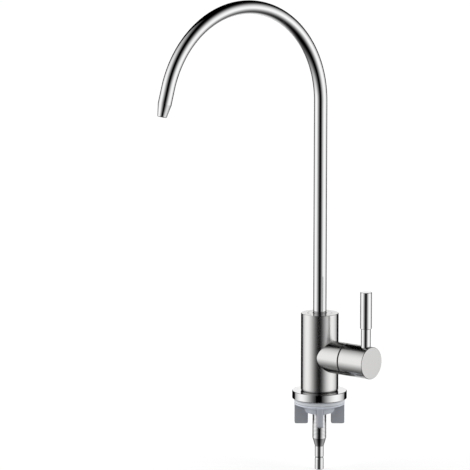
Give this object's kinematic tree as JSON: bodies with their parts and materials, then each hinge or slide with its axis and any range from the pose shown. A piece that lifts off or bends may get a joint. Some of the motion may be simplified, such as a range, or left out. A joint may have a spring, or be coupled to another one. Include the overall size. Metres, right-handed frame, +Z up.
{
  "type": "drinking water tap",
  "caption": "Deck-mounted drinking water filter tap: swivelling gooseneck spout, side quarter-turn lever, and threaded shank with washer and wing nut under the deck.",
  "frame": {"origin": "centre of the escutcheon's underside, where the tap stands on the deck", "axes": "+Z up along the body, the swivel and the shank; +X along the handle's axis, from the body out to the cap's end face"},
  "size_m": [0.0746, 0.1655, 0.3434],
  "materials": {
    "brushed_body": "brushed",
    "polished_steel": "polished",
    "brass": "machined",
    "black_rubber": "matt",
    "white_plastic": "satin",
    "black_plastic": "satin",
    "ceramic": "lapped ceramic",
    "spring_steel": "dark satin",
    "pale_rubber": "satin",
    "grey_plastic": "moulded satin"
  },
  "bodies": {
    "tap": {"tap_body": "brushed_body", "spout_collar": "brushed_body", "slip_washer": "white_plastic", "cartridge_housing": "brass", "cartridge_seal": "black_rubber", "cartridge_o_ring": "black_rubber", "fixed_disc": "ceramic", "glide_ring": "black_plastic", "escutcheon": "polished_steel", "escutcheon_gasket": "black_rubber", "threaded_shank": "polished_steel", "shank_o_ring": "black_rubber"},
    "spout": {"spout_tube": "polished_steel", "spout_spigot": "brass", "spout_o_ring_lower": "black_rubber", "spout_o_ring_upper": "black_rubber"},
    "handle": {"handle_cap": "brushed_body", "lever": "polished_steel", "grub_screw": "spring_steel", "spindle": "brass", "spindle_clip": "spring_steel", "spindle_o_ring": "black_rubber", "moving_disc": "ceramic"},
    "deck_washer": {"under_deck_washer": "pale_rubber"},
    "deck_nut": {"wing_nut": "grey_plastic"}
  },
  "joints": [
    {"name": "spout_swivel", "type": "hinge", "parent": "tap", "child": "spout", "pos_m": [0, 0, 0.05], "axis": [0, 0, 1], "continuous": true},
    {"name": "handle_turn", "type": "hinge", "parent": "tap", "child": "handle", "pos_m": [0.03, 0, 0.03135], "axis": [1, 0, 0], "range_deg": [0, 90]},
    {"name": "nut_travel", "type": "slide", "parent": "tap", "child": "deck_washer", "axis": [0, 0, -1], "range_m": [0, 0.015]},
    {"name": "nut_spin", "type": "hinge", "parent": "deck_washer", "child": "deck_nut", "pos_m": [0, 0, -0.006], "axis": [0, 0, -1], "range_deg": [0, 5400]}
  ],
  "couplings": [
    {"joint": "nut_travel", "follows": "nut_spin", "m_per_rad": 0.00015915}
  ]
}
